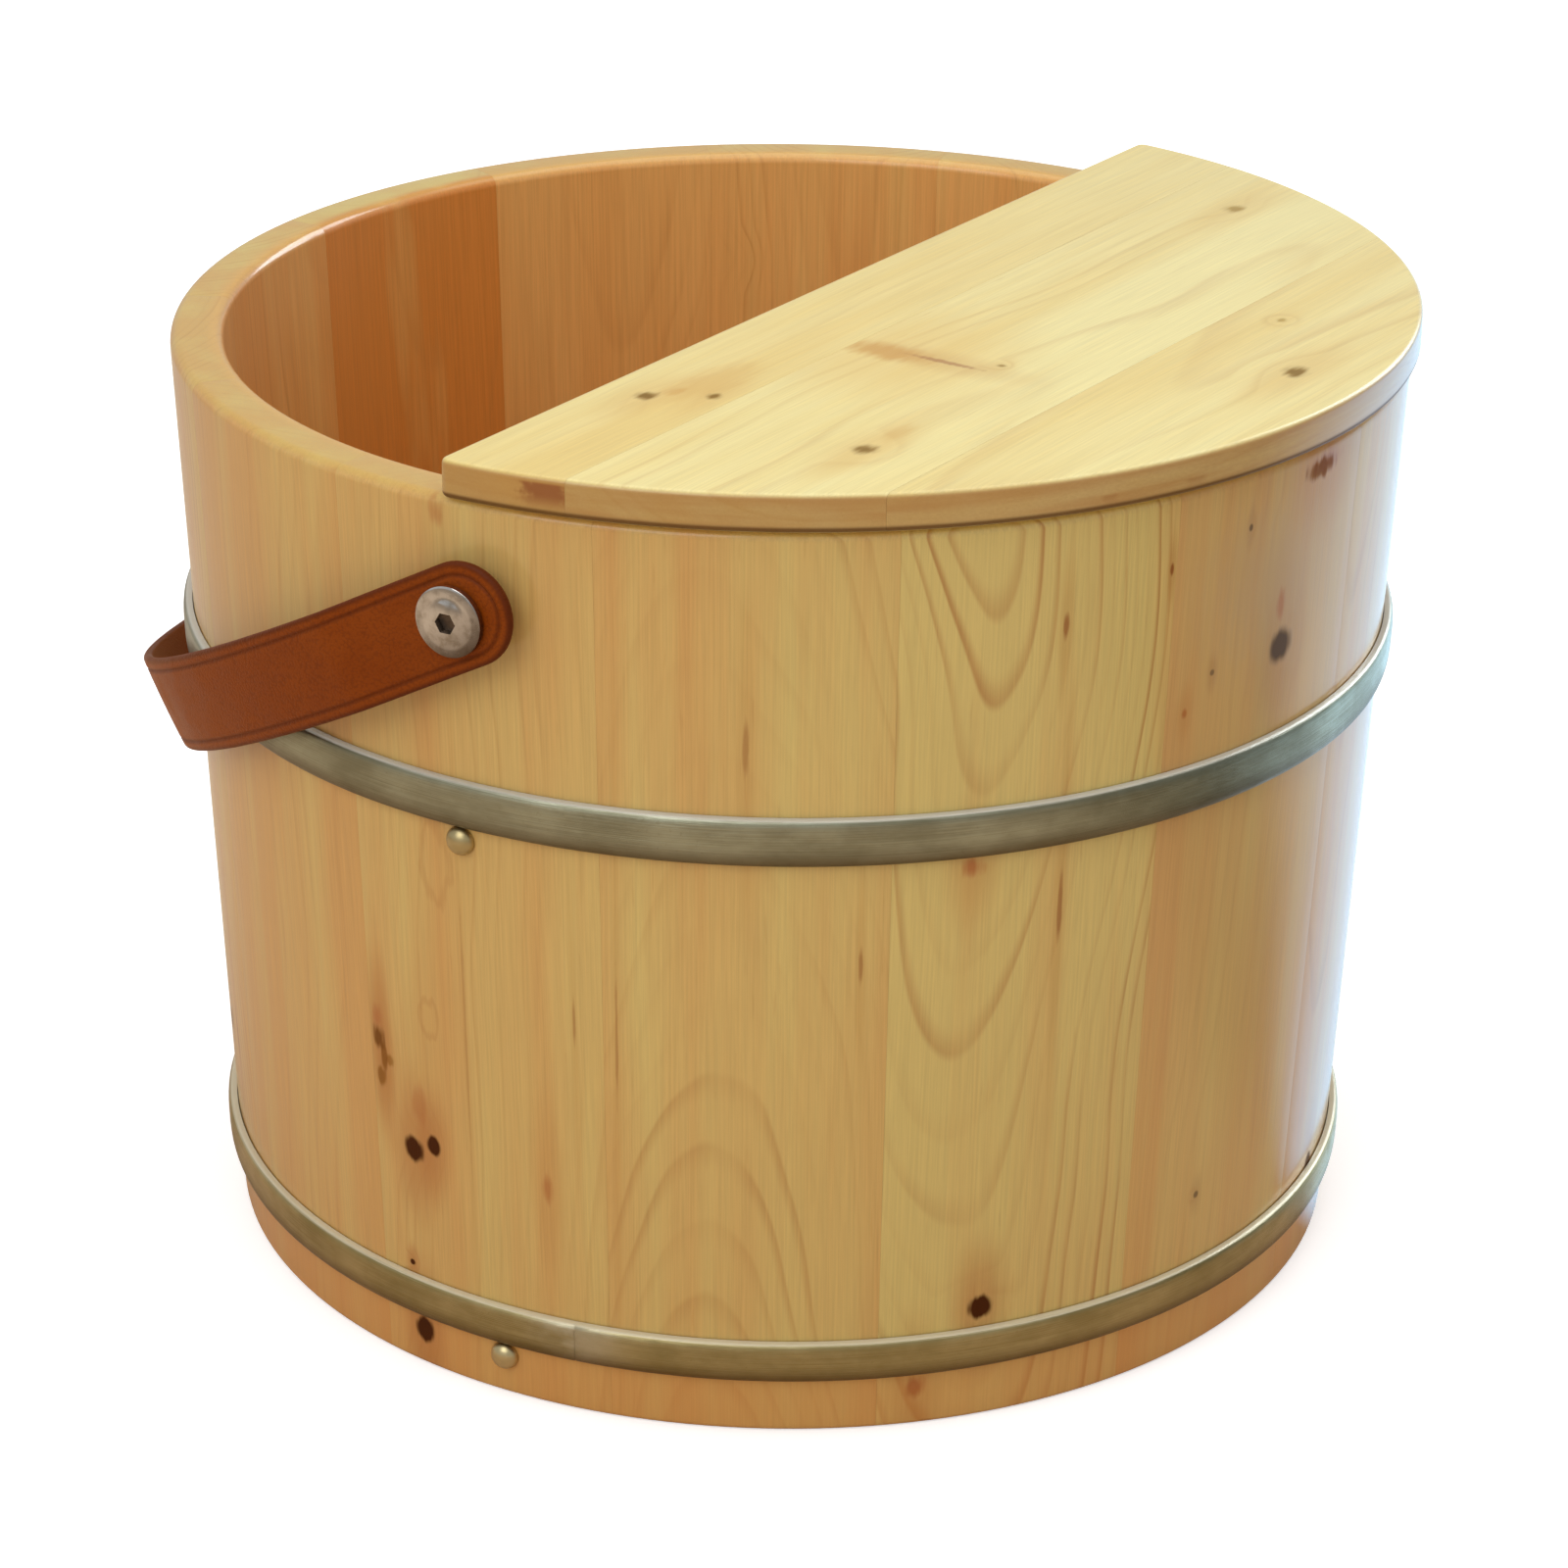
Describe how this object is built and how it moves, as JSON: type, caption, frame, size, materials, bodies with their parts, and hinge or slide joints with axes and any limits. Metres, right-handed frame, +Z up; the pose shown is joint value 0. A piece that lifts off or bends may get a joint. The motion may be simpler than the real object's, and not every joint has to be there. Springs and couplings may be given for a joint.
{
  "type": "wooden foot tub",
  "caption": "Round tapered tub of wooden staves in two metal hoops, with a loose half lid and a leather strap that swings over the top.",
  "frame": {"origin": "on the tub's axis, on the upper face of the bottom boards, 27 mm above the ground", "axes": "+Z up along the tub's axis, +X along the strap's pivot axis, -Y towards the side that the half lid covers"},
  "size_m": [0.4258, 0.4146, 0.3183],
  "materials": {
    "wall_wood": "clear gloss lacquer on pale softwood",
    "lid_wood": "clear satin lacquer on pale softwood",
    "floor_wood": "sealed softwood",
    "dowel_wood": "bare bamboo",
    "hoop_metal": "dull grey-green plated band",
    "strap_leather": "smooth brown leather with darker edges",
    "screw_steel": "polished",
    "fixing_zinc": "zinc plated"
  },
  "bodies": {
    "tub": {"stave_01": "wall_wood", "stave_02": "wall_wood", "stave_03": "wall_wood", "stave_04": "wall_wood", "stave_05": "wall_wood", "stave_06": "wall_wood", "stave_07": "wall_wood", "stave_08": "wall_wood", "stave_09": "wall_wood", "stave_10": "wall_wood", "stave_11": "wall_wood", "stave_12": "wall_wood", "stave_13": "wall_wood", "stave_14": "wall_wood", "floor_board_1": "floor_wood", "floor_board_2": "floor_wood", "floor_board_3": "floor_wood", "stave_dowel_01": "dowel_wood", "stave_dowel_02": "dowel_wood", "stave_dowel_03": "dowel_wood", "stave_dowel_04": "dowel_wood", "stave_dowel_05": "dowel_wood", "stave_dowel_06": "dowel_wood", "stave_dowel_07": "dowel_wood", "stave_dowel_08": "dowel_wood", "stave_dowel_09": "dowel_wood", "stave_dowel_10": "dowel_wood", "stave_dowel_11": "dowel_wood", "stave_dowel_12": "dowel_wood", "stave_dowel_13": "dowel_wood", "stave_dowel_14": "dowel_wood", "floor_dowel_1a": "dowel_wood", "floor_dowel_1b": "dowel_wood", "floor_dowel_2a": "dowel_wood", "floor_dowel_2b": "dowel_wood", "upper_hoop": "hoop_metal", "lower_hoop": "hoop_metal", "upper_nail_near": "hoop_metal", "upper_nail_far": "hoop_metal", "lower_nail_near": "hoop_metal", "lower_nail_far": "hoop_metal", "spacer_washer_near": "strap_leather", "spacer_washer_far": "strap_leather", "handle_screw_near": "screw_steel", "handle_screw_far": "screw_steel", "threaded_insert_near": "fixing_zinc", "threaded_insert_far": "fixing_zinc"},
    "lid": {"lid_board_1": "lid_wood", "lid_board_2": "lid_wood", "lid_board_3": "lid_wood", "lid_batten_near": "floor_wood", "lid_batten_far": "floor_wood", "batten_screw_near_1": "fixing_zinc", "batten_screw_near_2": "fixing_zinc", "batten_screw_near_3": "fixing_zinc", "batten_screw_far_1": "fixing_zinc", "batten_screw_far_2": "fixing_zinc", "batten_screw_far_3": "fixing_zinc"},
    "handle": {"leather_strap": "strap_leather"}
  },
  "joints": [
    {"name": "handle_swing", "type": "hinge", "parent": "tub", "child": "handle", "pos_m": [0, 0, 0.245], "axis": [1, 0, 0], "range_deg": [0, 237.1]},
    {"name": "lid_lift", "type": "slide", "parent": "tub", "child": "lid", "axis": [0, 0, 1], "range_m": [0, 0.2]}
  ]
}
